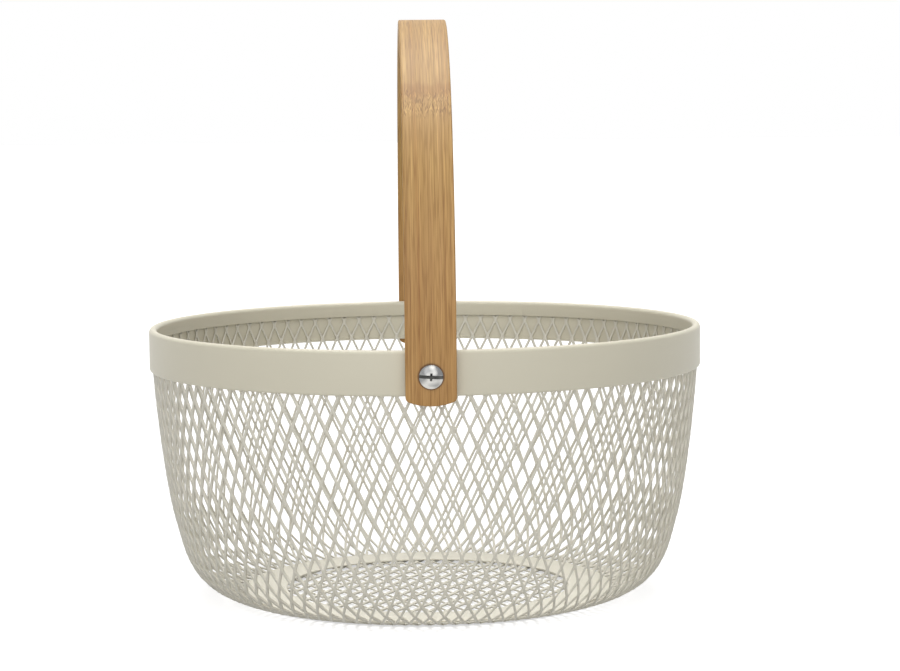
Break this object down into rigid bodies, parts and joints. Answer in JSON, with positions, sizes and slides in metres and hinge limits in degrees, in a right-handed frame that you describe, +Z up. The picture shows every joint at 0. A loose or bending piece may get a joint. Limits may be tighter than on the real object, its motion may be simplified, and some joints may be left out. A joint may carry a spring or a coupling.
{
  "type": "basket",
  "caption": "Round open basket of cream expanded steel mesh with a folded rim band, a ringed flat base and a swinging bent bamboo carrying handle.",
  "frame": {"origin": "centre of the base, on the surface that the basket stands on", "axes": "+Z up; the handle turns about an axis along Y through the two screws, the front screw at -Y; +X to the right seen from the front"},
  "size_m": [0.213, 0.225, 0.222],
  "materials": {
    "cream_steel": "satin powder coat, slightly warm off-white",
    "bamboo": "clear satin varnish on fine straight grain",
    "zinc_steel": "bright zinc plating"
  },
  "bodies": {
    "basket": {"rim_band": "cream_steel", "wall_mesh": "cream_steel", "base_ring": "cream_steel", "base_mesh": "cream_steel", "front_screw": "zinc_steel", "front_barrel_nut": "zinc_steel", "rear_screw": "zinc_steel", "rear_barrel_nut": "zinc_steel"},
    "handle": {"handle": "bamboo"}
  },
  "joints": [
    {"name": "handle_swing", "type": "hinge", "parent": "basket", "child": "handle", "pos_m": [0, 0, 0.0962], "axis": [0, 1, 0], "range_deg": [-125, 125]}
  ]
}
